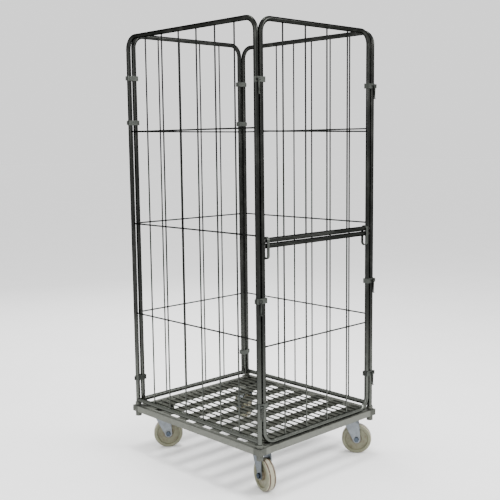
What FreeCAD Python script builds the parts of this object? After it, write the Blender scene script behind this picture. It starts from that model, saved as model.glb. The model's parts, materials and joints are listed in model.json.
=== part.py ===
import FreeCAD, Part
import math
import os

V = FreeCAD.Vector
X, Y, Z = V(1, 0, 0), V(0, 1, 0), V(0, 0, 1)

# Roll cage container: a wheeled base with a slotted wire deck, two plug-in side panels, a rear panel
# and a gate in two leaves. Millimetres, +Z up. The gate faces -Y. The origin is on the floor under
# the middle of the base.

# Cage
LEG_X = 327.5              # legs of the side panels, from the middle
LEG_Y = 379.0
TUBE_D = 19.0
TUBE_WALL = 1.5
TUBE_R = TUBE_D / 2
BEND_R = 50.0              # to the centre line of the tube
WIRE_UP_D = 6.0            # upright wires
WIRE_ACROSS_D = 6.0        # cross wires

# Side panels
RAIL_Z = 212.0             # middle of the bottom rail
PANEL_H = 1545.0           # bottom rail to top rail, centre to centre
SIDE_WIRE_PITCH = 106.0
SIDE_WIRES = 6

# Rear panel
REAR_X = 301.5
REAR_RAIL_Z = RAIL_Z - 2.5
REAR_TOP_Z = RAIL_Z + 1553.5
REAR_WIRE_PITCH = 115.5
REAR_WIRES = 4

# Gate
GATE_X = 304.5
GATE_WIRE_PITCH = 121.5
GATE_WIRES = 4
GATE_WIRE_SHIFT = -6.0     # the gate's upright wires stand a little towards its hinges
GATE_LOW_Z = 199.5         # bottom rail of the lower leaf
GATE_MID_Z = 954.0         # between the two leaves
GATE_TOP_Z = RAIL_Z + 1542.5
LEAF_GAP = 1.5
LOWER_CROSS_Z = 570.0
UPPER_CROSS_Z = 1359.0
FOLD_OFFSET = 18.0         # fold axis of the upper leaf, in front of the gate
LOWER_TOP_Z = GATE_MID_Z - LEAF_GAP / 2 - TUBE_R
UPPER_LOW_Z = GATE_MID_Z + LEAF_GAP / 2 + TUBE_R

# Clips, levers and links
STRAP_T = 2.2
STRAP_H = 20.0
EAR_REACH = 17.0
EAR_T = 5.0
HINGE_GAP = 0.1
CATCH_GAP = 0.4
SHOULDER = 12.0            # half the square end of a clip, round the gate's or rear panel's tube
CLIP_Z_LOW = 349.0
CLIP_Z_MID = 744.5
CLIP_Z_HIGH = 1540.5
REAR_CLIP_Z = (310.0, 1407.0, 1590.0)
LEVER_Y = -(TUBE_R + STRAP_T + 3.7)
LEVER_W = 9.0
LEVER_TIP_W = 5.0
LEVER_TAIL = 50.0
LEVER_PIN_R = 1.5
LUG_T = 2.0
LINK_W = 12.0
LINK_T = 3.5
LINK_GAP = 0.5
LINK_LENGTH = 56.0         # between the centres of the two round ends
LINK_X = GATE_X - TUBE_R - LINK_W / 2 - 3.5

# Base
ANGLE = 25.0
ANGLE_T = 3.0
BASE_TOP = 188.5
BASE_LOW = BASE_TOP - ANGLE
BLOCK = 35.0
BASE_X = LEG_X + BLOCK / 2
BASE_Y = LEG_Y + BLOCK / 2
SOCKET_R = 13.0
SOCKET_BORE_R = 9.9
SOCKET_TOP = 202.0
SOCKET_LOW = 142.0
SOCKET_FLOOR = 4.0
STRIP_W = 50.0
STRIP_T = 4.0
STRIP_PITCH = 103.0
STRIPS = 7
ROD_D = 6.0
ROD_PITCH = 34.0
RODS = 18
STRIP_TOP = BASE_TOP - ANGLE_T

# Castors
CASTOR_X = 263.0
CASTOR_Y = 314.0
WHEEL_D = 125.0
WHEEL_W = 36.0
HUB_W = 39.0
TRAIL = 36.0
PLATE_L = 100.0
PLATE_W = 80.0
PLATE_T = 4.0
PLATE_TOP = 166.0
BOLT_SPACING_X = 76.0
BOLT_SPACING_Y = 60.0
BOLT_R = 4.0
BOLT_HOLE_R = 4.25
PAD_T = 4.0
KINGPIN_R = 6.0
AXLE_R = 6.0
SLEEVE_R = 10.0
RUNNING = 0.06             # radial clearance of a running fit
FORK_IN = 20.5             # from the wheel's middle plane to the fork's inner face
FORK_T = 4.0
CROWN_TOP = 150.0
CROWN_T = 4.0
CASTORS = {
    "front_left": (-1, -1, -105.7),
    "front_right": (1, -1, -51.1),
    "rear_left": (-1, 1, -37.7),
    "rear_right": (1, 1, 74.3),
}


def save(name, *solids):
    shape = solids[0] if len(solids) == 1 else Part.makeCompound(list(solids))
    shape.exportStep("parts/" + name + ".step")


def bar(start, end, diameter):
    """A round bar between two points."""
    run = end.sub(start)
    return Part.makeCylinder(diameter / 2, run.Length, start, run)


def box(low, high):
    size = high.sub(low)
    return Part.makeBox(size.x, size.y, size.z, low)


def ring_face(centre, normal):
    """The section of the cage's tube."""
    outer = Part.Face(Part.Wire(Part.makeCircle(TUBE_R, centre, normal)))
    inner = Part.Face(Part.Wire(Part.makeCircle(TUBE_R - TUBE_WALL, centre, normal)))
    return outer.cut(inner).Faces[0]


def tube(start, end):
    return ring_face(start, end.sub(start)).extrude(end.sub(start))


def u_tube(foot, width, height, across, up):
    """A tube bent to a U: two limbs from the foot line and a rail, with a round bend at each corner."""
    limb = up * (height - BEND_R)
    rail = across * (width - 2 * BEND_R)
    turn = up.cross(across)
    top = foot + up * height + across * BEND_R
    far = foot + across * width
    near_bend = ring_face(foot + limb, up).revolve(foot + limb + across * BEND_R, turn, 90)
    far_bend = ring_face(far + limb, up).revolve(far + limb - across * BEND_R, turn * -1, 90)
    limbs = [ring_face(end, up).extrude(limb) for end in (foot, far)]
    rail = ring_face(top, across).extrude(rail)
    return limbs[0].multiFuse([limbs[1], near_bend, rail, far_bend]).removeSplitter().Solids[0]


def prism(points, depth, placement):
    """A flat plate from its outline in local X and Y, thickened along local Z and then placed."""
    face = Part.Face(Part.makePolygon([V(*p, 0) for p in points + points[:1]]))
    solid = face.extrude(V(0, 0, depth))
    solid.Placement = placement
    return solid


def hexagon(across_flats, thickness, base, axis):
    """A hexagonal head or nut blank."""
    reach = across_flats / math.sqrt(3)
    corners = [(reach * math.cos(math.radians(a)), reach * math.sin(math.radians(a))) for a in range(0, 360, 60)]
    return prism(corners, thickness, FreeCAD.Placement(base, FreeCAD.Rotation(Z, axis)))


def spread(count, pitch):
    """Positions of a row of equal pitch about the middle."""
    return [(i - (count - 1) / 2) * pitch for i in range(count)]


def wire_between(start, end, diameter, *tubes):
    """A wire whose ends are cut to the tubes that it is welded to."""
    wire = bar(start, end, diameter)
    for t in tubes:
        wire = wire.cut(t)
    return wire.Solids[0]


# Panels ---------------------------------------------------------------------------------------------

def side_panel(name, side):
    """Inverted U with its legs in the sockets, a bottom rail, upright wires and cross wires."""
    x = side * LEG_X
    foot_z = SOCKET_LOW + SOCKET_FLOOR
    top_z = RAIL_Z + PANEL_H
    save(name + "_frame", u_tube(V(x, -LEG_Y, foot_z), 2 * LEG_Y, top_z - foot_z, Y, Z))
    legs = [bar(V(x, y, foot_z), V(x, y, top_z), TUBE_D) for y in (-LEG_Y, LEG_Y)]
    low = bar(V(x, -LEG_Y, RAIL_Z), V(x, LEG_Y, RAIL_Z), TUBE_D)
    top = bar(V(x, -LEG_Y, top_z), V(x, LEG_Y, top_z), TUBE_D)
    rail = tube(V(x, -LEG_Y, RAIL_Z), V(x, LEG_Y, RAIL_Z))
    for leg in legs:
        rail = rail.cut(leg)
    save(name + "_bottom_rail", rail.Solids[0])
    up_x = x - side * WIRE_UP_D / 2
    across_x = x + side * WIRE_ACROSS_D / 2
    uprights = [
        wire_between(V(up_x, y, RAIL_Z), V(up_x, y, top_z), WIRE_UP_D, low, top)
        for y in spread(SIDE_WIRES, SIDE_WIRE_PITCH)
    ]
    save(name + "_uprights", *uprights)
    heights = [RAIL_Z + PANEL_H * quarter / 4 for quarter in (1, 2, 3)]
    cross = [
        wire_between(V(across_x, -LEG_Y, z), V(across_x, LEG_Y, z), WIRE_ACROSS_D, *legs)
        for z in heights
    ]
    save(name + "_cross_wires", *cross)


def rear_panel():
    y = LEG_Y
    foot_z = REAR_RAIL_Z - TUBE_R
    save("rear_frame", u_tube(V(-REAR_X, y, foot_z), 2 * REAR_X, REAR_TOP_Z - foot_z, X, Z))
    limbs = [bar(V(x, y, foot_z), V(x, y, REAR_TOP_Z), TUBE_D) for x in (-REAR_X, REAR_X)]
    low = bar(V(-REAR_X, y, REAR_RAIL_Z), V(REAR_X, y, REAR_RAIL_Z), TUBE_D)
    top = bar(V(-REAR_X, y, REAR_TOP_Z), V(REAR_X, y, REAR_TOP_Z), TUBE_D)
    rail = tube(V(-REAR_X, y, REAR_RAIL_Z), V(REAR_X, y, REAR_RAIL_Z))
    for limb in limbs:
        rail = rail.cut(limb)
    save("rear_bottom_rail", rail.Solids[0])
    up_y = y - WIRE_UP_D / 2
    across_y = y + WIRE_ACROSS_D / 2
    uprights = [
        wire_between(V(x, up_y, REAR_RAIL_Z), V(x, up_y, REAR_TOP_Z), WIRE_UP_D, low, top)
        for x in spread(REAR_WIRES, REAR_WIRE_PITCH)
    ]
    save("rear_uprights", *uprights)
    heights = [RAIL_Z + PANEL_H * quarter / 4 for quarter in (1, 2, 3)]
    cross = [
        wire_between(V(-REAR_X, across_y, z), V(REAR_X, across_y, z), WIRE_ACROSS_D, *limbs)
        for z in heights
    ]
    save("rear_cross_wires", *cross)
    clips = [rear_clip(side, z) for side in (-1, 1) for z in REAR_CLIP_Z]
    save("rear_clips", *clips)


def gate_leaf(name, rail_name, round_z, square_z, cross_z):
    """A U with its bends at round_z, closed by a straight rail at square_z, and its wires."""
    y = -LEG_Y
    up = Z if round_z > square_z else Z * -1
    foot_z = square_z - up.z * TUBE_R
    foot = V(-GATE_X, y, foot_z)
    save(name + "_frame", u_tube(foot, 2 * GATE_X, abs(round_z - foot_z), X, up))
    limbs = [bar(V(x, y, foot_z), V(x, y, round_z), TUBE_D) for x in (-GATE_X, GATE_X)]
    rails = [bar(V(-GATE_X, y, z), V(GATE_X, y, z), TUBE_D) for z in (round_z, square_z)]
    rail = tube(V(-GATE_X, y, square_z), V(GATE_X, y, square_z))
    for limb in limbs:
        rail = rail.cut(limb)
    save(name + rail_name, rail.Solids[0])
    up_y = y + WIRE_UP_D / 2
    across_y = y - WIRE_ACROSS_D / 2
    wires = [
        wire_between(V(x, up_y, min(round_z, square_z)), V(x, up_y, max(round_z, square_z)), WIRE_UP_D, *rails)
        for x in [GATE_WIRE_SHIFT + step for step in spread(GATE_WIRES, GATE_WIRE_PITCH)]
    ]
    wires.append(wire_between(V(-GATE_X, across_y, cross_z), V(GATE_X, across_y, cross_z), WIRE_ACROSS_D, *limbs))
    save(name + "_wires", *wires)


# Clips, levers and links ----------------------------------------------------------------------------

def strap(centre, reach, whole_loop, gap):
    """A flat strap round a leg at centre and round the tube beside it at centre + reach along X."""
    low = V(0, 0, -STRAP_H / 2)
    outer_r = TUBE_R + STRAP_T
    beside = V(reach, 0, 0)
    body = Part.makeCylinder(outer_r, STRAP_H, low)
    toe = math.copysign(SHOULDER, reach)
    shoulder = box(
        V(min(reach, reach + toe), -outer_r, low.z), V(max(reach, reach + toe), outer_r, -low.z)
    )
    body = body.multiFuse([Part.makeCylinder(outer_r, STRAP_H, low + beside), shoulder])
    strips = [box(V(min(0, reach), -outer_r, low.z), V(max(0, reach), -TUBE_R, -low.z))]
    if whole_loop:
        strips.append(box(V(min(0, reach), TUBE_R, low.z), V(max(0, reach), outer_r, -low.z)))
    side = -math.copysign(1, reach)
    ear_ends = sorted((side * TUBE_R, side * EAR_REACH))
    ear_low = V(ear_ends[0], -outer_r if not whole_loop else -EAR_T / 2, -STRAP_H / 2 + 2)
    ear_high = V(ear_ends[1], ear_low.y + EAR_T, STRAP_H / 2 - 2)
    strips.append(box(ear_low, ear_high))
    body = body.multiFuse(strips)
    tall = STRAP_H + 2
    body = body.cut(Part.makeCylinder(TUBE_R + gap, tall, low - Z))
    body = body.cut(Part.makeCylinder(TUBE_R, tall, low + beside - Z))
    if not whole_loop:
        mouth_x = reach - math.copysign(outer_r, reach)
        ends = sorted((mouth_x, -math.copysign(EAR_REACH + 1, reach)))
        body = body.cut(box(V(ends[0], 0, low.z - 1), V(ends[1], EAR_REACH, 1 - low.z)))
    body = body.removeSplitter().Solids[0]
    body.translate(centre)
    return body


def rear_clip(side, z):
    return strap(V(side * LEG_X, LEG_Y, z), side * (REAR_X - LEG_X), True, 0)


def gate_clip(side, z, whole_loop):
    """A strap on the gate's tube with two lugs in front of the leg for the lever's pin."""
    centre = V(side * LEG_X, -LEG_Y, z)
    gap = HINGE_GAP if whole_loop else CATCH_GAP
    clip = strap(centre, side * (GATE_X - LEG_X), whole_loop, gap)
    inner = LEVER_W / 2 + 0.5
    for lug_x in (-inner - LUG_T, inner):
        low = centre + V(lug_x, LEVER_Y - 3, -4)
        clip = clip.fuse(box(low, low + V(LUG_T, 3 - LEVER_Y - TUBE_R / 2, 8)))
    clip = clip.cut(Part.makeCylinder(TUBE_R + gap, STRAP_H + 2, centre - Z * (STRAP_H / 2 + 1)))
    pin = centre + V(-inner - LUG_T - 1, LEVER_Y, 0)
    clip = clip.cut(Part.makeCylinder(LEVER_PIN_R + RUNNING, 2 * (inner + LUG_T + 1), pin, X))
    return clip.removeSplitter().Solids[0]


def lever(side, z):
    """A hanging lever: a barrel with its pin and a tail that tapers to a pull lip."""
    pivot = V(side * LEG_X, -LEG_Y + LEVER_Y, z)
    half, tip = LEVER_W / 2, LEVER_TIP_W / 2
    reach = half + 0.5 + LUG_T
    barrel = Part.makeCylinder(3, LEVER_W, pivot - X * half, X)
    pin = Part.makeCylinder(LEVER_PIN_R, 2 * reach, pivot - X * reach, X)
    tail = prism(
        [(-half, 0), (-tip, -LEVER_TAIL), (tip, -LEVER_TAIL), (half, 0)],
        2,
        FreeCAD.Placement(pivot + Y, FreeCAD.Rotation(X, 90)),
    )
    lip = box(pivot + V(-tip, -5, -LEVER_TAIL - 2), pivot + V(tip, 1, -LEVER_TAIL))
    return barrel.multiFuse([pin, tail, lip]).removeSplitter().Solids[0]


def stadium(centre, length, radius, width):
    """A plate with round ends in the YZ plane: two discs and the block between them."""
    start = centre - X * (width / 2)
    low = start - Z * length
    discs = [Part.makeCylinder(radius, width, end, X) for end in (start, low)]
    return discs[0].multiFuse([discs[1], box(low - Y * radius, start + Y * radius + X * width)])


def fold_link(side):
    """A long closed loop of flat bar round the two rails where the leaves meet."""
    high = V(side * LINK_X, -LEG_Y, UPPER_LOW_Z)
    inner_r = TUBE_R + LINK_GAP
    outer = stadium(high, LINK_LENGTH, inner_r + LINK_T, LINK_W)
    loop = outer.cut(stadium(high, LINK_LENGTH, inner_r, LINK_W))
    return loop.removeSplitter().Solids[0]


# Base -----------------------------------------------------------------------------------------------

def angle_rail(start, end, inward):
    """Angle section along start to end, its corner at the outer top edge, one leg down, one inward."""
    run = end.sub(start)
    corners = [
        start,
        start + inward * ANGLE,
        start + inward * ANGLE - Z * ANGLE_T,
        start + inward * ANGLE_T - Z * ANGLE_T,
        start + inward * ANGLE_T - Z * ANGLE,
        start - Z * ANGLE,
        start,
    ]
    return Part.Face(Part.makePolygon(corners)).extrude(run)


def socket(side_x, side_y):
    """Corner block with its socket tube, closed at the bottom."""
    axis = V(side_x * LEG_X, side_y * LEG_Y, 0)
    half = BLOCK / 2
    block = box(axis + V(-half, -half, BASE_LOW), axis + V(half, half, BASE_TOP))
    cup = Part.makeCylinder(SOCKET_R, SOCKET_TOP - SOCKET_LOW, axis + Z * SOCKET_LOW)
    bore_low = SOCKET_LOW + SOCKET_FLOOR
    bore = Part.makeCylinder(SOCKET_BORE_R, SOCKET_TOP - bore_low + 1, axis + Z * bore_low)
    return block.fuse(cup).cut(bore).removeSplitter().Solids[0]


def base():
    along_y = LEG_Y - BLOCK / 2
    along_x = LEG_X - BLOCK / 2
    for name, side in (("left", -1), ("right", 1)):
        ends = [V(side * BASE_X, y, BASE_TOP) for y in (-along_y, along_y)]
        save("base_rail_" + name, angle_rail(ends[0], ends[1], X * -side))
    for name, y, inward in (("front", -BASE_Y, Y), ("rear", LEG_Y, Y * -1)):
        ends = [V(x, y, BASE_TOP) for x in (-along_x, along_x)]
        save("base_rail_" + name, angle_rail(ends[0], ends[1], inward))
    corners = [(sx, sy) for sx in (-1, 1) for sy in (-1, 1)]
    save("corner_sockets", *[socket(sx, sy) for sx, sy in corners])
    half = BASE_X - ANGLE_T
    strips = [
        box(V(-half, y - STRIP_W / 2, STRIP_TOP - STRIP_T), V(half, y + STRIP_W / 2, STRIP_TOP))
        for y in spread(STRIPS, STRIP_PITCH)
    ]
    save("deck_strips", *strips)
    rod_z = STRIP_TOP + ROD_D / 2
    front, rear = -BASE_Y + ANGLE, LEG_Y - ANGLE
    rods = [bar(V(x, front, rod_z), V(x, rear, rod_z), ROD_D) for x in spread(RODS, ROD_PITCH)]
    save("deck_rods", *rods)
    save("castor_pads", *[castor_pad(sx, sy) for sx, sy in corners])


def bolt_places(side_x, side_y):
    for dx in (-BOLT_SPACING_X / 2, BOLT_SPACING_X / 2):
        for dy in (-BOLT_SPACING_Y / 2, BOLT_SPACING_Y / 2):
            yield V(side_x * CASTOR_X + dx, side_y * CASTOR_Y + dy, 0)


def drilled(plate, side_x, side_y):
    for place in bolt_places(side_x, side_y):
        plate = plate.cut(Part.makeCylinder(BOLT_HOLE_R, 60, place + Z * (PLATE_TOP - 30)))
    return plate


def castor_pad(side_x, side_y):
    """Plate between the side rail and a flange that stands up to the underside of the deck strip."""
    inner = side_x * (CASTOR_X - PLATE_L / 2)
    outer = side_x * (BASE_X - ANGLE_T)
    y = side_y * CASTOR_Y
    half = PLATE_W / 2 + 2
    plate = box(V(min(inner, outer), y - half, PLATE_TOP), V(max(inner, outer), y + half, PLATE_TOP + PAD_T))
    edge = sorted((inner, inner + side_x * PAD_T))
    flange = box(V(edge[0], y - half, PLATE_TOP), V(edge[1], y + half, STRIP_TOP - STRIP_T))
    return drilled(plate.fuse(flange), side_x, side_y).removeSplitter().Solids[0]


# Castors --------------------------------------------------------------------------------------------

def plate_fasteners(side_x, side_y):
    """The four bolts of a castor plate, head up on the pad, and their nuts under the plate."""
    top = PLATE_TOP + PAD_T
    low = PLATE_TOP - PLATE_T
    for place in bolt_places(side_x, side_y):
        shank = Part.makeCylinder(BOLT_R, top - low + 9, place + Z * (low - 9))
        yield shank.fuse(hexagon(13, 5.3, place + Z * top, Z)).removeSplitter().Solids[0]
        nut = hexagon(13, 6.5, place + Z * (low - 6.5), Z)
        yield nut.cut(Part.makeCylinder(BOLT_R, 20, place + Z * (low - 12))).Solids[0]


def kingpin(side_x, side_y):
    """Pin fixed in the plate, with the head below that carries the fork's crown."""
    axis = V(side_x * CASTOR_X, side_y * CASTOR_Y, 0)
    head_top = CROWN_TOP - CROWN_T - 0.3
    shank = Part.makeCylinder(KINGPIN_R, PLATE_TOP - head_top + 1, axis + Z * (head_top - 1))
    head = Part.makeCylinder(11, 6, axis + Z * (head_top - 6))
    return shank.fuse(head).removeSplitter().Solids[0]


def castor_plate(side_x, side_y):
    """Top plate with the upper race pressed into it."""
    axis = V(side_x * CASTOR_X, side_y * CASTOR_Y, 0)
    half = V(PLATE_L / 2, PLATE_W / 2, 0)
    plate = box(axis - half + Z * (PLATE_TOP - PLATE_T), axis + half + Z * PLATE_TOP)
    race = Part.makeCone(26, 30, 3.6, axis + Z * (PLATE_TOP - PLATE_T - 3.6))
    plate = plate.fuse(race).cut(Part.makeCylinder(KINGPIN_R, 60, axis + Z * (PLATE_TOP - 30)))
    return drilled(plate, side_x, side_y).removeSplitter().Solids[0]


def fork():
    """Pressed yoke. Local X is the way the wheel trails, local Y the axle, local Z up."""
    out = FORK_IN + FORK_T
    axle = V(TRAIL, 0, WHEEL_D / 2)
    crown_low = CROWN_TOP - CROWN_T
    crown = box(V(-24, -out, crown_low), V(42, out, CROWN_TOP))
    crown = crown.common(Part.makeCylinder(52, CROWN_T, V(12, 0, crown_low)))
    cup = Part.makeCone(30, 27, 8, V(0, 0, CROWN_TOP))
    outline = [(-18, CROWN_TOP), (-16, 132), (20, 62.5), (52, 62.5), (48, 120), (42, CROWN_TOP)]
    legs = []
    for y in (-out, FORK_IN):
        stand = FreeCAD.Placement(V(0, y + FORK_T, 0), FreeCAD.Rotation(X, 90))
        leg = prism(outline, FORK_T, stand)
        legs.append(leg.fuse(Part.makeCylinder(16, FORK_T, V(axle.x, y, axle.z), Y)))
    body = crown.multiFuse([cup] + legs)
    body = body.cut(Part.makeCylinder(KINGPIN_R + RUNNING, 60, V(0, 0, crown_low - 10)))
    body = body.cut(Part.makeCylinder(AXLE_R, 100, V(axle.x, -50, axle.z), Y))
    return body.removeSplitter().Solids[0]


def wheel():
    """Solid wheel turned from one section: rounded tread, dished web and a longer hub."""
    r, half, hub = WHEEL_D / 2, WHEEL_W / 2, HUB_W / 2
    bore = SLEEVE_R + RUNNING
    soft = 7.0
    right = [
        V(bore, hub, 0), V(19, hub, 0), V(21, half - 6, 0), V(46, half - 6, 0), V(49, half, 0),
        V(r - soft, half, 0),
    ]
    mid = V(r - soft + soft * math.sin(math.pi / 4), half - soft + soft * math.cos(math.pi / 4), 0)
    shoulder = V(r, half - soft, 0)
    edges = [Part.makeLine(a, b) for a, b in zip(right, right[1:])]
    edges.append(Part.Arc(right[-1], mid, shoulder).toShape())
    mirror = [V(p.x, -p.y, 0) for p in right]
    edges.append(Part.makeLine(shoulder, V(r, soft - half, 0)))
    edges.append(Part.Arc(V(r, soft - half, 0), V(mid.x, -mid.y, 0), mirror[-1]).toShape())
    edges += [Part.makeLine(b, a) for a, b in reversed(list(zip(mirror, mirror[1:])))]
    edges.append(Part.makeLine(mirror[0], right[0]))
    solid = Part.Face(Part.Wire(edges)).revolve(V(0, 0, 0), Y, 360)
    solid.translate(V(TRAIL, 0, r))
    return solid


def sleeve():
    axle = V(TRAIL, -FORK_IN, WHEEL_D / 2)
    outer = Part.makeCylinder(SLEEVE_R, 2 * FORK_IN, axle, Y)
    return outer.cut(Part.makeCylinder(AXLE_R, 2 * FORK_IN, axle, Y))


def axle_bolt():
    """Axle bolt through fork and sleeve, and its nut."""
    out = FORK_IN + FORK_T
    z = WHEEL_D / 2
    shank = Part.makeCylinder(AXLE_R, 2 * out + 14, V(TRAIL, -out, z), Y)
    head = hexagon(19, 7.5, V(TRAIL, -out - 7.5, z), Y)
    nut = hexagon(19, 10, V(TRAIL, out, z), Y).cut(shank)
    return shank.fuse(head).removeSplitter().Solids[0], nut.Solids[0]


def castors():
    fasteners = []
    kingpins = []
    for name, (sx, sy, heading) in CASTORS.items():
        fasteners += list(plate_fasteners(sx, sy))
        kingpins.append(kingpin(sx, sy))
        save("castor_" + name + "_plate", castor_plate(sx, sy))
        swivelled = {
            "fork": [fork()],
            "wheel": [wheel()],
            "sleeve": [sleeve()],
            "axle": list(axle_bolt()),
        }
        for piece, solids in swivelled.items():
            for solid in solids:
                solid.rotate(V(0, 0, 0), Z, heading)
                solid.translate(V(sx * CASTOR_X, sy * CASTOR_Y, 0))
            save("castor_" + name + "_" + piece, *solids)
    save("castor_plate_bolts", *fasteners)
    save("castor_kingpins", *kingpins)


# Assembly -------------------------------------------------------------------------------------------

os.makedirs("parts", exist_ok=True)
base()
side_panel("left", -1)
side_panel("right", 1)
rear_panel()
gate_leaf("lower_gate", "_top_rail", GATE_LOW_Z, LOWER_TOP_Z, LOWER_CROSS_Z)
gate_leaf("upper_gate", "_bottom_rail", GATE_TOP_Z, UPPER_LOW_Z, UPPER_CROSS_Z)
lower_clips = [gate_clip(side, z, side < 0) for side in (-1, 1) for z in (CLIP_Z_LOW, CLIP_Z_MID)]
save("lower_gate_clips", *lower_clips)
save("upper_gate_clips", *[gate_clip(side, CLIP_Z_HIGH, False) for side in (-1, 1)])
for end, side in (("left", -1), ("right", 1)):
    save("fold_link_" + end, fold_link(side))
    for level, z in (("low", CLIP_Z_LOW), ("mid", CLIP_Z_MID), ("high", CLIP_Z_HIGH)):
        save("lever_" + end + "_" + level, lever(side, z))
castors()
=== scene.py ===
import json
import math

import bmesh
import bpy
from bpy.props import FloatProperty, FloatVectorProperty, IntProperty, PointerProperty
from bpy.types import Operator, Panel, PropertyGroup
from mathutils import Matrix, Vector, noise


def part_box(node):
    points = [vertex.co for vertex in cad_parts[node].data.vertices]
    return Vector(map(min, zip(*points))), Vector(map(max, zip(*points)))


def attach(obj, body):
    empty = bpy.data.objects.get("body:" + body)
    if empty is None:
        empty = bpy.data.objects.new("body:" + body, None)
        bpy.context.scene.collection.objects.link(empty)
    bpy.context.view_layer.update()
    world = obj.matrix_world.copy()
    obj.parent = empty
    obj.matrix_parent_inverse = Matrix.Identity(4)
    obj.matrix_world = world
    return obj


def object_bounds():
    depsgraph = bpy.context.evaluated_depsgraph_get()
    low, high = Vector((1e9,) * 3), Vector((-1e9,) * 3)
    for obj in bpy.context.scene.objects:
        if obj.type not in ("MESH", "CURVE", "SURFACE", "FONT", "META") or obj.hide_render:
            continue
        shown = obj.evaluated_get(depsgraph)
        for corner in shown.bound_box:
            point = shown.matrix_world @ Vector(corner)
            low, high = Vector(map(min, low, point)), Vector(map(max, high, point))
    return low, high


bl_info = {
    "name": "Roll Cage Finish",
    "version": (1, 0, 0),
    "blender": (4, 5, 0),
    "location": "View3D > Sidebar > Roll Cage",
    "description": "Welds, metal and nylon finishes and a studio for a roll cage container",
    "category": "Object",
}

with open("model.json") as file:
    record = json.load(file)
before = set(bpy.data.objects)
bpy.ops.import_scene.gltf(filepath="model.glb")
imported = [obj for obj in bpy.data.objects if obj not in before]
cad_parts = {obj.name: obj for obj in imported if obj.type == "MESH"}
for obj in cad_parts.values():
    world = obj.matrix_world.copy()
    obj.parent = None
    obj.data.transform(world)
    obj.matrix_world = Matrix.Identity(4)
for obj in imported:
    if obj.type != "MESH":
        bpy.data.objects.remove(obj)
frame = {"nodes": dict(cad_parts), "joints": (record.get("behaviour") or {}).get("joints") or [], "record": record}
CAD_LOW, CAD_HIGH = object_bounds()
NODES = frame["nodes"]
BODY_OF = {node: body for body, members in frame["record"]["behaviour"]["bodies"].items() for node in members}
TUBE_R = (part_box("left_bottom_rail")[1].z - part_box("left_bottom_rail")[0].z) / 2
SOCKET_R = 0.0130  # outside of the round socket, metres
DECK_WELD = (0.0042, 0.0022, 0.0030)  # half size of the weld at a deck rod's end, metres

# Where the wheel's marks and painted shade fade in, in metres: the first value is without them, the second is full
# strength.
TREAD = (0.0625, 0.0640)  # from the axle: the polished tread
LINE_INNER = (0.0060, 0.0085)  # from the wheel's mid plane: near edge of the line of dirt
LINE_OUTER = (0.0150, 0.0115)  # from the wheel's mid plane: far edge of the line of dirt
WEB_SHADE = (0.050, 0.044)  # from the axle: painted shade over the dished web, in patches
HUB_SHADE = (0.025, 0.019)  # from the axle: painted shade round the hub

ZINC_EDGE = 0.4  # brightness of zinc at a glancing angle
RUST = (0.070, 0.040, 0.022)
WELD_DARK = (0.022, 0.021, 0.019)
WELD_BRIGHT = (0.085, 0.085, 0.082)

CASTORS = ("front_left", "front_right", "rear_left", "rear_right")
PANEL_TUBES = (
    "left_frame", "left_bottom_rail", "right_frame", "right_bottom_rail", "rear_frame", "rear_bottom_rail",
)
GATE_TUBES = ("lower_gate_frame", "lower_gate_top_rail", "upper_gate_frame", "upper_gate_bottom_rail")
WIRES = (
    "left_uprights", "left_cross_wires", "right_uprights", "right_cross_wires", "rear_uprights",
    "rear_cross_wires", "lower_gate_wires", "upper_gate_wires",
)
BASE = (
    "base_rail_left", "base_rail_right", "base_rail_front", "base_rail_rear", "corner_sockets", "castor_pads",
)
DECK = ("deck_rods", "deck_strips")
FITTINGS = ("rear_clips", "lower_gate_clips", "upper_gate_clips", "fold_link_left", "fold_link_right")


# Settings -------------------------------------------------------------------------------------------

def colour(name, about, default):
    return FloatVectorProperty(name=name, description=about, default=default, subtype="COLOR", min=0, max=1)


def length(name, about, default):
    return FloatProperty(name=name, description=about, default=default, min=0, unit="LENGTH")


def share(name, about, default):
    return FloatProperty(name=name, description=about, default=default, min=0, max=1, subtype="FACTOR")


class CageSteelSettings(PropertyGroup):
    dull: colour("Dull plating", "Tube where the plating has dulled", (0.020, 0.021, 0.0195))
    bright: colour("Bright plating", "Tube where hands and straps keep it bright", (0.042, 0.043, 0.040))
    # low: a painted reflection of the floor, lighter plating on tubes and wires near the base
    low: colour("Floor reflection plating", "Tube near the base, lightened by a painted reflection of the floor", (0.095, 0.100, 0.090))
    wire: colour("Wire", "Drawn wire of the panels", (0.016, 0.017, 0.016))
    edge: share("Edge", "How much brighter the plating gets at a glancing angle", 0.12)
    roughness: share("Roughness", "Average roughness of the plating", 0.22)


class BaseSteelSettings(PropertyGroup):
    zinc: colour("Zinc", "Galvanised coat", (0.112, 0.116, 0.102))
    shade: colour("Zinc shade", "Darker grains of the galvanised coat", (0.050, 0.053, 0.046))
    deck: colour("Deck", "Coat of the deck, dulled by goods and feet", (0.045, 0.047, 0.040))
    grime: colour("Grime", "Dirt in the corners of the base", (0.020, 0.018, 0.014))
    grain: length("Grain", "Size of one grain of the galvanised coat", 0.009)


class CastorSettings(PropertyGroup):
    plating: colour("Fork plating", "Blue bright zinc of forks and plates", (0.145, 0.158, 0.170))
    plating_dull: colour("Fork dull plating", "Where the fork's plating has dulled", (0.066, 0.073, 0.077))
    bolt: colour("Bolt", "Dark blue zinc of bolts, nuts and axles", (0.050, 0.062, 0.078))
    fitting: colour("Fitting", "Plated strap of the clips, levers and links", (0.052, 0.056, 0.051))
    fitting_dull: colour("Dull fitting", "Where that plating has gone dark", (0.017, 0.018, 0.016))
    nylon: colour("Nylon", "Wheel material", (0.165, 0.165, 0.105))
    nylon_worn: colour("Worn nylon", "Tread polished by the floor", (0.300, 0.285, 0.205))
    # dirt: floor dirt on the tread, and also the colour of the painted shade over the web and round the hub
    dirt: colour("Wheel dirt and painted shade", "Floor dirt on the tread", (0.050, 0.022, 0.009))


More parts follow.
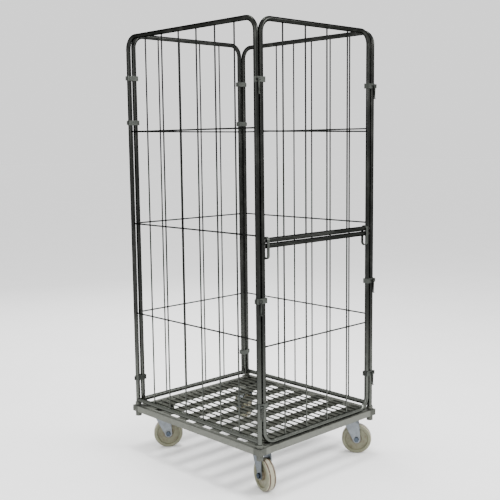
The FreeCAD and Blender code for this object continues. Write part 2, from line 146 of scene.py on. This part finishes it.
class WeldSettings(PropertyGroup):
    seam: length("Seam", "Thickness of the seam that joins two tubes", 0.0030)
    spot: length("Spot", "Height of the spot where two wires cross", 0.0022)
    ripple: share("Ripple", "Depth of the ripples along a seam", 0.22)
    sides: IntProperty(name="Sides", description="Facets round a seam", default=8, min=4, max=24)


class StudioSettings(PropertyGroup):
    camera_place: FloatVectorProperty(
        name="Camera place", description="Where the camera stands", subtype="XYZ", unit="LENGTH",
        default=(-2.4236, -2.5342, 1.3130),
    )
    heading: FloatProperty(
        name="Heading", description="Camera heading from +Y towards +X", default=0.7621,
        subtype="ANGLE", unit="ROTATION",
    )
    dip: FloatProperty(
        name="Dip", description="How far the camera looks down", default=0.1256,
        subtype="ANGLE", unit="ROTATION",
    )
    roll: FloatProperty(
        name="Roll", description="Turn of the camera about its own line of sight", default=-0.0116,
        subtype="ANGLE", unit="ROTATION",
    )
    lens: FloatProperty(
        name="Lens", description="Focal length on a 36 mm sensor", default=60.36, min=10,
        subtype="DISTANCE_CAMERA",
    )
    floor: colour("Floor", "Pale studio floor", (0.90, 0.90, 0.90))
    room: FloatProperty(
        name="Room", description="Brightness of the room that lights the object", default=1.5, min=0,
    )
    backdrop: FloatProperty(
        name="Backdrop", description="Brightness of the room behind the object, level with the floor",
        default=1.35, min=0,
    )


# Materials ------------------------------------------------------------------------------------------

class Finish:
    """A material under construction: a Principled shader and the nodes that feed it."""

    def __init__(self, name, metallic, roughness):
        self.material = bpy.data.materials.new(name)
        self.material.use_nodes = True
        self.tree = self.material.node_tree
        self.shader = self.tree.nodes["Principled BSDF"]
        self.shader.inputs["Metallic"].default_value = metallic
        self.shader.inputs["Roughness"].default_value = roughness
        self.place = self.node("ShaderNodeTexCoord").outputs["Object"]

    def node(self, kind, **settings):
        made = self.tree.nodes.new(kind)
        for key, value in settings.items():
            setattr(made, key, value)
        return made

    def link(self, source, target):
        self.tree.links.new(source, target)

    def edge(self, amount):
        """How bright the metal gets at a glancing angle."""
        self.shader.inputs["Specular Tint"].default_value = (amount, amount, amount, 1)

    def stretched(self, scale, start=(0, 0, 0), turn=(0, 0, 0)):
        """The object's coordinates, shifted, turned and scaled."""
        mapping = self.node("ShaderNodeMapping", vector_type="TEXTURE")
        mapping.inputs["Location"].default_value = start
        mapping.inputs["Rotation"].default_value = turn
        mapping.inputs["Scale"].default_value = [1 / s for s in scale]
        self.link(self.place, mapping.inputs["Vector"])
        return mapping.outputs["Vector"]

    def clouds(self, scale, detail=4.0, vector=None, distortion=0.0):
        made = self.node("ShaderNodeTexNoise")
        made.inputs["Scale"].default_value = scale
        made.inputs["Detail"].default_value = detail
        made.inputs["Distortion"].default_value = distortion
        self.link(vector or self.place, made.inputs["Vector"])
        return made.outputs["Fac"]

    def grains(self, size):
        made = self.node("ShaderNodeTexVoronoi")
        made.inputs["Scale"].default_value = 1 / size
        self.link(self.place, made.inputs["Vector"])
        return made.outputs["Color"]

    def ramp(self, value, low, high, start=0.0, end=1.0):
        """value between low and high becomes start to end, smoothly."""
        made = self.node("ShaderNodeMapRange", interpolation_type="SMOOTHSTEP")
        for key, number in (("From Min", low), ("From Max", high), ("To Min", start), ("To Max", end)):
            made.inputs[key].default_value = number
        self.link(value, made.inputs["Value"])
        return made.outputs["Result"]

    def combine(self, operation, a, b):
        made = self.node("ShaderNodeMath", operation=operation)
        for socket, value in zip(made.inputs, (a, b)):
            if isinstance(value, (int, float)):
                socket.default_value = value
            else:
                self.link(value, socket)
        return made.outputs["Value"]

    def mix(self, factor, a, b):
        """Colour a turning to colour b as factor goes from 0 to 1."""
        made = self.node("ShaderNodeMix", data_type="RGBA")
        sockets = [s for s in made.inputs if s.type == "RGBA"]
        self.link(factor, made.inputs["Factor"])
        for socket, value in zip(sockets, (a, b)):
            if hasattr(value, "links"):
                self.link(value, socket)
            else:
                socket.default_value = (*value[:3], 1)
        return next(s for s in made.outputs if s.type == "RGBA")

    def bump(self, height, depth, under=None):
        made = self.node("ShaderNodeBump")
        made.inputs["Strength"].default_value = 1.0
        made.inputs["Distance"].default_value = depth
        self.link(height, made.inputs["Height"])
        if under:
            self.link(under, made.inputs["Normal"])
        return made.outputs["Normal"]

    def rounded_edges(self, radius):
        """Softened edges, so that cut and pressed metal catches the light."""
        made = self.node("ShaderNodeBevel", samples=4)
        made.inputs["Radius"].default_value = radius
        return made.outputs["Normal"]

    def wear(self, low=0.50, high=0.62):
        """High where an edge stands out, from the surface's own curvature."""
        pointed = self.node("ShaderNodeNewGeometry").outputs["Pointiness"]
        return self.ramp(pointed, low, high)

    def floor_reflection_mask(self, cloud):
        """High near the floor, with an uneven upper limit: where the painted reflection of the floor goes."""
        split = self.node("ShaderNodeSeparateXYZ")
        self.link(self.place, split.inputs["Vector"])
        height = self.combine("ADD", split.outputs["Z"], self.combine("MULTIPLY", cloud, 0.5))
        return self.ramp(height, 0.95, 0.40, 0.0, 0.85)

    def shade(self, base=None, roughness=None, normal=None):
        for socket, value in (("Base Color", base), ("Roughness", roughness), ("Normal", normal)):
            if value is not None:
                self.link(value, self.shader.inputs[socket])
        return self.material


def tube_plating(name, settings, grain):
    """Plated tube: dull, with faint rubbed streaks that run along grain, greyer low down with a painted reflection
    of the floor.
    """
    f = Finish(name, 1.0, settings.roughness)
    f.edge(settings.edge)
    streaks = f.clouds(1.0, 4.0, f.stretched(grain))
    patches = f.ramp(f.clouds(9.0, 3.0), 0.36, 0.64, 0.3, 1.0)
    amount = f.combine("MULTIPLY", f.ramp(streaks, 0.40, 0.75), patches)
    base = f.mix(amount, settings.dull, settings.bright)
    # painted reflection of the floor: lighter, greyer plating low down
    base = f.mix(f.floor_reflection_mask(streaks), base, settings.low)
    specks = f.ramp(f.clouds(700.0, 2.0), 0.62, 0.74)
    base = f.mix(f.combine("MULTIPLY", specks, 0.15), base, [c * 0.4 for c in settings.dull])
    rough = f.ramp(f.clouds(60.0, 4.0), 0.3, 0.7, settings.roughness - 0.07, settings.roughness + 0.12)
    lines = f.clouds(1.0, 2.0, f.stretched([g * 5 for g in grain]))
    return f.shade(base, rough, f.bump(lines, 0.00002))


def wire_plating(name, settings):
    f = Finish(name, 1.0, settings.roughness)
    f.edge(settings.edge)
    patches = f.clouds(14.0, 4.0)
    dark = [c * 0.55 for c in settings.wire]
    bright = [c * 1.4 for c in settings.wire]
    base = f.mix(f.ramp(patches, 0.35, 0.70), dark, bright)
    # painted reflection of the floor: lighter, greyer wire low down
    base = f.mix(f.floor_reflection_mask(patches), base, settings.low)
    rough = f.ramp(f.clouds(120.0, 3.0), 0.3, 0.7, settings.roughness, settings.roughness + 0.2)
    return f.shade(base, rough, f.bump(f.clouds(1400.0, 2.0), 0.00004))


def galvanised(name, settings, zinc, shade, depth=0.00012):
    """Hot-dip zinc: flat grains of slightly different shade, runs, and grime towards the corners."""
    f = Finish(name, 0.85, 0.5)
    f.edge(ZINC_EDGE)
    grey = f.node("ShaderNodeSeparateColor")
    f.link(f.grains(settings.grain), grey.inputs["Color"])
    grain = grey.outputs["Red"]
    cloud = f.clouds(30.0, 5.0, distortion=0.6)
    amount = f.combine("MULTIPLY", f.ramp(grain, 0.0, 1.0, 0.55, 1.0), f.ramp(cloud, 0.25, 0.75, 0.35, 1.0))
    base = f.mix(amount, shade, zinc)
    dirt = f.combine("MULTIPLY", f.ramp(f.clouds(16.0, 6.0), 0.52, 0.74), 0.75)
    base = f.mix(dirt, base, settings.grime)
    base = f.mix(f.combine("MULTIPLY", f.wear(), 0.5), base, [min(1, c * 1.9) for c in zinc])
    blend = f.combine("ADD", f.combine("MULTIPLY", grain, 0.4), f.combine("MULTIPLY", cloud, 0.6))
    rough = f.ramp(blend, 0.2, 0.8, 0.36, 0.62)
    normal = f.bump(f.clouds(260.0, 3.0), depth, f.rounded_edges(0.0009))
    return f.shade(base, rough, normal)


def bright_zinc(name, bright, dull, roughness):
    """Bright zinc on pressed steel, dulled in patches, worn at the edges."""
    f = Finish(name, 1.0, roughness)
    f.edge(ZINC_EDGE)
    patches = f.ramp(f.clouds(42.0, 5.0, distortion=0.4), 0.34, 0.68)
    base = f.mix(patches, dull, bright)
    base = f.mix(f.combine("MULTIPLY", f.wear(), 0.6), base, [min(1, c * 1.7) for c in bright])
    rust = f.combine("MULTIPLY", f.ramp(f.clouds(95.0, 6.0), 0.66, 0.78), 0.6)
    base = f.mix(rust, base, RUST)
    rough = f.ramp(f.clouds(150.0, 3.0), 0.3, 0.7, roughness - 0.08, roughness + 0.16)
    return f.shade(base, rough, f.bump(f.clouds(500.0, 2.0), 0.00006, f.rounded_edges(0.0008)))


def moulded_nylon(name, settings, hub, axle_heading):
    """Cream wheel: polished on the tread, a brown line of floor dirt beside it, painted shade in patches over the
    web and round the hub.
    """
    f = Finish(name, 0.0, 0.45)
    f.shader.inputs["Subsurface Weight"].default_value = 0.12
    f.shader.inputs["Subsurface Radius"].default_value = (0.006, 0.005, 0.003)
    f.shader.inputs["Specular IOR Level"].default_value = 0.45
    local = f.stretched((1, 1, 1), hub, (0, 0, axle_heading))
    split = f.node("ShaderNodeSeparateXYZ")
    f.link(local, split.inputs["Vector"])
    along = f.node("ShaderNodeMath", operation="ABSOLUTE")
    f.link(split.outputs["Y"], along.inputs[0])
    flat = f.node("ShaderNodeCombineXYZ")
    f.link(split.outputs["X"], flat.inputs["X"])
    f.link(split.outputs["Z"], flat.inputs["Z"])
    radius = f.node("ShaderNodeVectorMath", operation="LENGTH")
    f.link(flat.outputs["Vector"], radius.inputs[0])
    radius = radius.outputs["Value"]
    wobble = f.combine("MULTIPLY", f.clouds(40.0, 3.0), 0.006)
    tread = f.ramp(f.combine("ADD", radius, wobble), *TREAD)
    offset = along.outputs["Value"]
    line = f.combine("MULTIPLY", f.ramp(offset, *LINE_INNER), f.ramp(offset, *LINE_OUTER))
    base = f.mix(f.ramp(f.clouds(28.0, 4.0), 0.3, 0.7), [c * 0.86 for c in settings.nylon], settings.nylon)
    base = f.mix(tread, base, settings.nylon_worn)
    ring = f.combine("MULTIPLY", tread, f.combine("MULTIPLY", line, f.ramp(f.clouds(55.0, 5.0), 0.22, 0.45)))
    base = f.mix(ring, base, settings.dirt)
    # painted shade over the dished web, in patches
    web_shade = f.combine("MULTIPLY", f.ramp(radius, *WEB_SHADE), f.ramp(f.clouds(70.0, 6.0), 0.42, 0.70))
    base = f.mix(f.combine("MULTIPLY", web_shade, 0.45), base, [c * 1.7 for c in settings.dirt])
    # painted shade round the hub
    hub_shade = f.combine("MULTIPLY", f.ramp(radius, *HUB_SHADE), 0.5)
    base = f.mix(hub_shade, base, settings.dirt)
    rough = f.ramp(f.clouds(90.0, 4.0), 0.3, 0.7, 0.36, 0.60)
    return f.shade(base, rough, f.bump(f.clouds(650.0, 3.0), 0.00007, f.rounded_edges(0.0008)))


def weld_metal(name):
    f = Finish(name, 1.0, 0.42)
    heat = f.ramp(f.clouds(300.0, 3.0), 0.3, 0.7)
    base = f.mix(heat, WELD_DARK, WELD_BRIGHT)
    rough = f.ramp(f.clouds(500.0, 3.0), 0.3, 0.7, 0.30, 0.58)
    return f.shade(base, rough, f.bump(f.clouds(900.0, 3.0), 0.00012))


def paint(material, *nodes):
    for node in nodes:
        data = NODES[node].data
        data.materials.clear()
        data.materials.append(material)


# Meshes ---------------------------------------------------------------------------------------------

def solids_of(node):
    """Lowest and highest corner of each separate solid in a node."""
    mesh = bmesh.new()
    mesh.from_mesh(NODES[node].data)
    bmesh.ops.remove_doubles(mesh, verts=mesh.verts, dist=1e-6)
    left = set(mesh.verts)
    found = []
    while left:
        start = left.pop()
        group, edge = [start], [start]
        while edge:
            for link in edge.pop().link_edges:
                for vert in link.verts:
                    if vert in left:
                        left.remove(vert)
                        group.append(vert)
                        edge.append(vert)
        low = Vector(min(v.co[i] for v in group) for i in range(3))
        high = Vector(max(v.co[i] for v in group) for i in range(3))
        found.append((low, high))
    mesh.free()
    return sorted(found, key=lambda box: tuple(round(c, 5) for c in box[0]))


def long_way(box):
    size = box[1] - box[0]
    return max(range(3), key=lambda i: size[i])


def ends_of(box):
    """Middle of each end of a straight bar that lies along X, Y or Z."""
    way = long_way(box)
    middle = (box[0] + box[1]) / 2
    ends = []
    for corner in box:
        end = middle.copy()
        end[way] = corner[way]
        ends.append(end)
    return ends


def bead(mesh, line, thickness, ripple, sides, closed=False):
    """A rippled round seam along a line of points."""
    rings = []
    count = len(line)
    for i, point in enumerate(line):
        after = line[(i + 1) % count] if closed or i + 1 < count else point
        before = line[i - 1] if closed or i > 0 else point
        ahead = (after - before).normalized()
        side = rings[-1][1] - ahead * rings[-1][1].dot(ahead) if rings else ahead.orthogonal()
        side.normalize()
        over = ahead.cross(side)
        swell = 1 + ripple * math.sin(i * 2.2) + 0.5 * ripple * noise.noise(point * 400)
        taper = 1.0 if closed else min(1.0, 0.35 + 0.65 * min(i, count - 1 - i) / 2)
        r = thickness / 2 * swell * taper
        loop = [
            mesh.verts.new(point + (side * math.cos(a) + over * math.sin(a)) * r)
            for a in (math.tau * k / sides for k in range(sides))
        ]
        rings.append((loop, side))
    pairs = list(zip(rings, rings[1:]))
    if closed:
        pairs.append((rings[-1], rings[0]))
    for (a, _), (b, _) in pairs:
        for k in range(sides):
            mesh.faces.new((a[k], a[(k + 1) % sides], b[(k + 1) % sides], b[k]))
    if not closed:
        mesh.faces.new(reversed(rings[0][0]))
        mesh.faces.new(rings[-1][0])


def spot(mesh, place, size, seed):
    """A squashed, uneven spot of weld metal."""
    made = bmesh.ops.create_icosphere(mesh, subdivisions=2, radius=1.0)["verts"]
    for vert in made:
        lump = 1 + 0.22 * noise.noise(vert.co * 1.7 + Vector((seed, seed * 0.37, 0)))
        vert.co = place + Vector(c * s * lump for c, s in zip(vert.co, size))


def saddle(mesh, end, outward, across, upward, radius, settings):
    """The seam where a tube's end is coped over an equal tube. outward points back along the tube."""
    steps = 28
    line = []
    for i in range(steps):
        turn = math.tau * i / steps
        point = end + across * (radius * math.cos(turn)) + upward * (radius * math.sin(turn))
        line.append(point + outward * (radius * (abs(math.sin(turn)) - 1)))
    bead(mesh, line, settings.seam, settings.ripple, settings.sides, closed=True)


def ring(mesh, centre, radius, settings, flat=Vector((0, 0, 1))):
    side = flat.orthogonal().normalized()
    over = flat.cross(side)
    steps = 36
    turns = [math.tau * i / steps for i in range(steps)]
    line = [centre + (side * math.cos(turn) + over * math.sin(turn)) * radius for turn in turns]
    bead(mesh, line, settings.seam, settings.ripple, settings.sides, closed=True)


def piece(name, mesh, body, material):
    """Turns a mesh under construction into a named piece that rides on a body."""
    bmesh.ops.recalc_face_normals(mesh, faces=mesh.faces)
    data = bpy.data.meshes.new(name)
    mesh.to_mesh(data)
    mesh.free()
    data.materials.append(material)
    for face in data.polygons:
        face.use_smooth = True
    made = bpy.data.objects.new(name, data)
    bpy.context.scene.collection.objects.link(made)
    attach(made, body)
    return made


# Operators ------------------------------------------------------------------------------------------

class RollCagePart(Operator):
    """Shared base of the roll cage operators"""
    bl_idname = "roll_cage.part"
    bl_label = "Roll Cage Part"
    bl_options = {"REGISTER", "UNDO"}

    def execute(self, context):
        self.make(context.scene)
        return {"FINISHED"}


class ROLLCAGE_OT_tubes(RollCagePart):
    """Plate the tubes and wires of the panels and the gate"""
    bl_idname = "roll_cage.tubes"
    bl_label = "Tubes and Wires"

    def make(self, scene):
        steel = scene.cage_steel
        along_z = tube_plating("tube_plating_upright", steel, (26, 26, 11))
        along_y = tube_plating("tube_plating_side_rail", steel, (70, 5, 70))
        along_x = tube_plating("tube_plating_gate_rail", steel, (5, 70, 70))
        frames = [n for n in PANEL_TUBES + GATE_TUBES if n.endswith("_frame")]
        paint(along_z, *frames)
        paint(along_y, "left_bottom_rail", "right_bottom_rail")
        paint(along_x, "rear_bottom_rail", "lower_gate_top_rail", "upper_gate_bottom_rail")
        paint(wire_plating("wire_plating", steel), *WIRES)


class ROLLCAGE_OT_base(RollCagePart):
    """Galvanise the base frame and its deck"""
    bl_idname = "roll_cage.base"
    bl_label = "Base and Deck"

    def make(self, scene):
        steel = scene.base_steel
        paint(galvanised("galvanised_frame", steel, steel.zinc, steel.shade), *BASE)
        deck = galvanised("galvanised_deck", steel, steel.deck, [c * 0.5 for c in steel.deck], 0.0002)
        paint(deck, *DECK)


class ROLLCAGE_OT_fittings(RollCagePart):
    """Finish the clips, links and levers"""
    bl_idname = "roll_cage.fittings"
    bl_label = "Clips and Levers"

    def make(self, scene):
        levers = [n for n in NODES if n.startswith("lever_")]
        steel = scene.castors
        paint(bright_zinc("fitting_plating", steel.fitting, steel.fitting_dull, 0.36), *FITTINGS, *levers)


class ROLLCAGE_OT_castors(RollCagePart):
    """Finish forks, plates, bolts and wheels"""
    bl_idname = "roll_cage.castors"
    bl_label = "Castors"

    def make(self, scene):
        steel = scene.castors
        pressed = bright_zinc("fork_plating", steel.plating, steel.plating_dull, 0.36)
        turned = bright_zinc("bolt_plating", steel.bolt, [c * 0.3 for c in steel.bolt], 0.24)
        joints = {joint["name"]: joint for joint in frame["joints"]}
        for corner in CASTORS:
            paint(pressed, *[f"castor_{corner}_{part}" for part in ("fork", "plate")])
            paint(turned, *[f"castor_{corner}_{part}" for part in ("axle", "sleeve")])
            spin = joints[f"{corner}_wheel_spin"]
            heading = math.atan2(spin["axis"][1], spin["axis"][0]) - math.pi / 2
            name = f"wheel_nylon_{corner}"
            paint(moulded_nylon(name, steel, spin["pos_m"], heading), f"castor_{corner}_wheel")
        paint(turned, "castor_plate_bolts", "castor_kingpins")


class ROLLCAGE_OT_wire_welds(RollCagePart):
    """Add the welds at the wires' ends and crossings"""
    bl_idname = "roll_cage.wire_welds"
    bl_label = "Wire Welds"

    def make(self, scene):
        settings = scene.welds
        metal = weld_metal("wire_weld_metal")
        groups = {
            "left": ("left_uprights", "left_cross_wires"),
            "right": ("right_uprights", "right_cross_wires"),
            "rear": ("rear_uprights", "rear_cross_wires"),
            "lower_gate": ("lower_gate_wires",),
            "upper_gate": ("upper_gate_wires",),
        }
        for group, nodes in groups.items():
            bars = [box for node in nodes for box in solids_of(node)]
            uprights = [box for box in bars if long_way(box) == 2]
            cross = [box for box in bars if long_way(box) != 2]
            mesh = bmesh.new()
            seed = 0
            for box in bars:
                way = long_way(box)
                r = (box[1] - box[0])[(way + 1) % 3] / 2
                for place in ends_of(box):
                    size = [r + settings.spot * 0.55] * 3
                    size[way] = settings.spot * 0.9
                    spot(mesh, place, size, seed)
                    seed += 1
            for up in uprights:
                for over in cross:
                    place = (up[0] + up[1]) / 2
                    place.z = (over[0].z + over[1].z) / 2
                    depth = 0 if long_way(over) == 1 else 1
                    gap = (up[0][depth] + up[1][depth]) / 2 - (over[0][depth] + over[1][depth]) / 2
                    place[depth] -= gap / 2
                    size = [settings.spot * 1.5] * 3
                    size[depth] = settings.spot * 0.6
                    spot(mesh, place, size, seed)
                    seed += 1
            piece(f"wire_welds_{group}", mesh, BODY_OF[nodes[0]], metal)


class ROLLCAGE_OT_tube_welds(RollCagePart):
    """Add the rippled seams where the rails meet the uprights"""
    bl_idname = "roll_cage.tube_welds"
    bl_label = "Tube Welds"

    def make(self, scene):
        metal = weld_metal("tube_weld_metal")
        up = Vector((0, 0, 1))
        for rail in [n for n in PANEL_TUBES + GATE_TUBES if n.endswith("_rail")]:
            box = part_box(rail)
            way = long_way(box)
            mesh = bmesh.new()
            for end, sign in zip(ends_of(box), (1, -1)):
                outward = Vector((0, 0, 0))
                outward[way] = sign
                saddle(mesh, end + outward * TUBE_R, outward, outward.cross(up), up, TUBE_R, scene.welds)
            piece(f"seams_{rail}", mesh, BODY_OF[rail], metal)


class ROLLCAGE_OT_base_welds(RollCagePart):
    """Add the seams round the corner sockets and at the deck rods' ends"""
    bl_idname = "roll_cage.base_welds"
    bl_label = "Base Welds"

    def make(self, scene):
        settings = scene.welds
        metal = weld_metal("base_weld_metal")
        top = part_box("base_rail_left")[1].z
        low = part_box("base_rail_left")[0].z
        mesh = bmesh.new()
        for box in solids_of("corner_sockets"):
            middle = (box[0] + box[1]) / 2
            for z in (top, low):
                ring(mesh, Vector((middle.x, middle.y, z)), SOCKET_R, settings)
        piece("seams_corner_sockets", mesh, BODY_OF["corner_sockets"], metal)
        mesh = bmesh.new()
        for seed, box in enumerate(solids_of("deck_rods")):
            for place in ends_of(box):
                spot(mesh, place, DECK_WELD, seed)
        piece("deck_rod_welds", mesh, BODY_OF["deck_rods"], metal)


class ROLLCAGE_OT_studio(RollCagePart):
    """Lay the floor, hang the lights and set the camera"""
    bl_idname = "roll_cage.studio"
    bl_label = "Studio"

    def make(self, scene):
        studio = scene.studio
        self.floor(studio)
        self.room(scene, studio)
        for name, place, size, power in (
            ("key", (1.8, -3.4, 3.4), 2.2, 150),
            ("fill", (-3.4, -1.8, 2.4), 2.4, 55),
            ("top", (0.2, 0.2, 4.0), 1.2, 170),
            ("back", (1.2, 3.4, 2.6), 2.0, 60),
        ):
            self.lamp(name, Vector(place), size, power)
        self.camera(scene, studio)

    def floor(self, studio):
        f = Finish("studio_floor", 0.0, 0.7)
        cloud = f.clouds(3.0, 3.0)
        f.shade(f.mix(f.ramp(cloud, 0.3, 0.7), [c * 0.985 for c in studio.floor], studio.floor))
        mesh = bmesh.new()
        bmesh.ops.create_grid(mesh, x_segments=12, y_segments=12, size=60)
        data = bpy.data.meshes.new("studio_floor")
        mesh.to_mesh(data)
        mesh.free()
        data.materials.append(f.material)
        made = bpy.data.objects.new("studio_floor", data)
        bpy.context.scene.collection.objects.link(made)

    def room(self, scene, studio):
        """An even pale room, a little dimmer behind the object so that it meets the floor without an edge."""
        world = bpy.data.worlds.new("studio_room")
        world.use_nodes = True
        tree = world.node_tree
        seen = tree.nodes["Background"]
        seen.inputs["Color"].default_value = (1, 1, 1, 1)
        seen.inputs["Strength"].default_value = studio.backdrop
        mirrored = tree.nodes.new("ShaderNodeBackground")
        mirrored.inputs["Color"].default_value = (1, 1, 1, 1)
        mirrored.inputs["Strength"].default_value = studio.room
        path = tree.nodes.new("ShaderNodeLightPath")
        mix = tree.nodes.new("ShaderNodeMixShader")
        tree.links.new(path.outputs["Is Camera Ray"], mix.inputs["Fac"])
        tree.links.new(mirrored.outputs["Background"], mix.inputs[1])
        tree.links.new(seen.outputs["Background"], mix.inputs[2])
        tree.links.new(mix.outputs["Shader"], tree.nodes["World Output"].inputs["Surface"])
        scene.world = world

    def lamp(self, name, place, size, power):
        data = bpy.data.lights.new(f"studio_{name}", "AREA")
        data.shape = "DISK"
        data.size = size
        data.energy = power
        made = bpy.data.objects.new(f"studio_{name}", data)
        made.location = place
        aim = Vector((0, 0, (CAD_LOW.z + CAD_HIGH.z) / 2)) - place
        made.rotation_euler = aim.to_track_quat("-Z", "Y").to_euler()
        bpy.context.scene.collection.objects.link(made)

    def camera(self, scene, studio):
        data = bpy.data.cameras.new("studio_camera")
        data.sensor_width = 36
        data.lens = studio.lens
        ahead = Vector((
            math.sin(studio.heading) * math.cos(studio.dip),
            math.cos(studio.heading) * math.cos(studio.dip),
            -math.sin(studio.dip),
        ))
        right = Vector((math.cos(studio.heading), -math.sin(studio.heading), 0))
        up = right.cross(ahead)
        tipped = right * math.cos(studio.roll) + up * math.sin(studio.roll)
        raised = up * math.cos(studio.roll) - right * math.sin(studio.roll)
        made = bpy.data.objects.new("studio_camera", data)
        turn = Matrix((tipped, raised, -ahead)).transposed().to_4x4()
        made.matrix_world = Matrix.Translation(studio.camera_place) @ turn
        scene.collection.objects.link(made)
        scene.camera = made


class ROLLCAGE_PT_parts(Panel):
    """Roll cage finishing steps, in order"""
    bl_idname = "ROLLCAGE_PT_parts"
    bl_label = "Roll Cage"
    bl_space_type = "VIEW_3D"
    bl_region_type = "UI"
    bl_category = "Roll Cage"

    def draw(self, context):
        for step in STEPS:
            self.layout.operator(step.bl_idname)
        for settings in SETTINGS:
            box = self.layout.box()
            for field in settings[1].__annotations__:
                box.prop(getattr(context.scene, settings[0]), field)


STEPS = (
    ROLLCAGE_OT_tubes,
    ROLLCAGE_OT_base,
    ROLLCAGE_OT_fittings,
    ROLLCAGE_OT_castors,
    ROLLCAGE_OT_wire_welds,
    ROLLCAGE_OT_tube_welds,
    ROLLCAGE_OT_base_welds,
    ROLLCAGE_OT_studio,
)
SETTINGS = (
    ("cage_steel", CageSteelSettings),
    ("base_steel", BaseSteelSettings),
    ("castors", CastorSettings),
    ("welds", WeldSettings),
    ("studio", StudioSettings),
)


def register():
    for name, settings in SETTINGS:
        bpy.utils.register_class(settings)
        setattr(bpy.types.Scene, name, PointerProperty(type=settings))
    for step in STEPS:
        bpy.utils.register_class(step)
    bpy.utils.register_class(ROLLCAGE_PT_parts)


def unregister():
    bpy.utils.unregister_class(ROLLCAGE_PT_parts)
    for step in reversed(STEPS):
        bpy.utils.unregister_class(step)
    for name, settings in reversed(SETTINGS):
        delattr(bpy.types.Scene, name)
        bpy.utils.unregister_class(settings)


def main():
    register()
    for step in STEPS:
        group, name = step.bl_idname.split(".")
        getattr(getattr(bpy.ops, group), name)()


if __name__ == "__main__":
    main()
